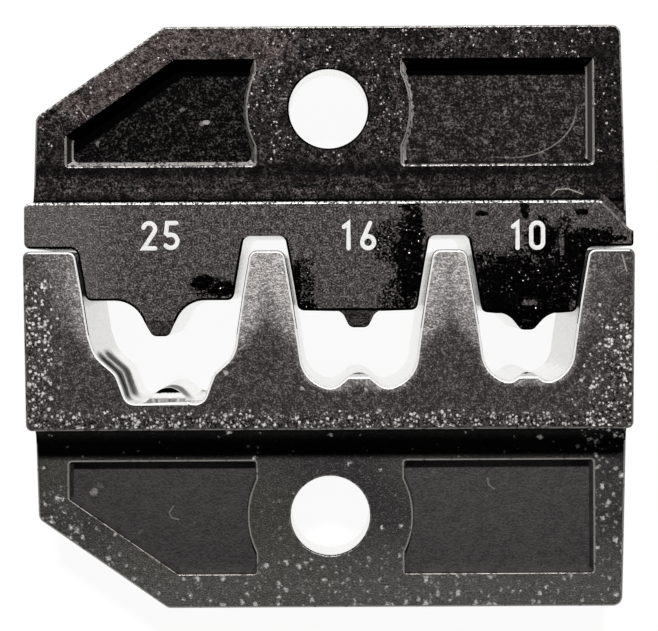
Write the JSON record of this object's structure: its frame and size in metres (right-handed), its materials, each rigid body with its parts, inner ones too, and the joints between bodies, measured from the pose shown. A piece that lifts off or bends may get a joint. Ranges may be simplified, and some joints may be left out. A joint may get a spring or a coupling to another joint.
{
  "type": "crimp die insert",
  "caption": "Matched pair of blackened steel crimp dies for wire end ferrules: punches on one half, toothed nests on the other, keyed mounting flanges with screw holes.",
  "frame": {"origin": "under the middle of the pair, on the plane that its back lies on, with the dies almost closed", "axes": "+X along the bars towards the smallest nest, +Y from the nests to the punches along the closing direction, +Z out of the marked face"},
  "size_m": [0.0337, 0.033, 0.012],
  "materials": {
    "upper_steel": "black oxide over a fine cast grain",
    "lower_steel": "black oxide over a fine cast grain, worn brighter on the teeth"
  },
  "bodies": {
    "lower_half": {"lower_die": "lower_steel"},
    "upper_half": {"upper_die": "upper_steel"}
  },
  "joints": [
    {"name": "closing_slide", "type": "slide", "parent": "lower_half", "child": "upper_half", "axis": [0, 1, 0], "range_m": [-0.00012, 0.012]}
  ]
}
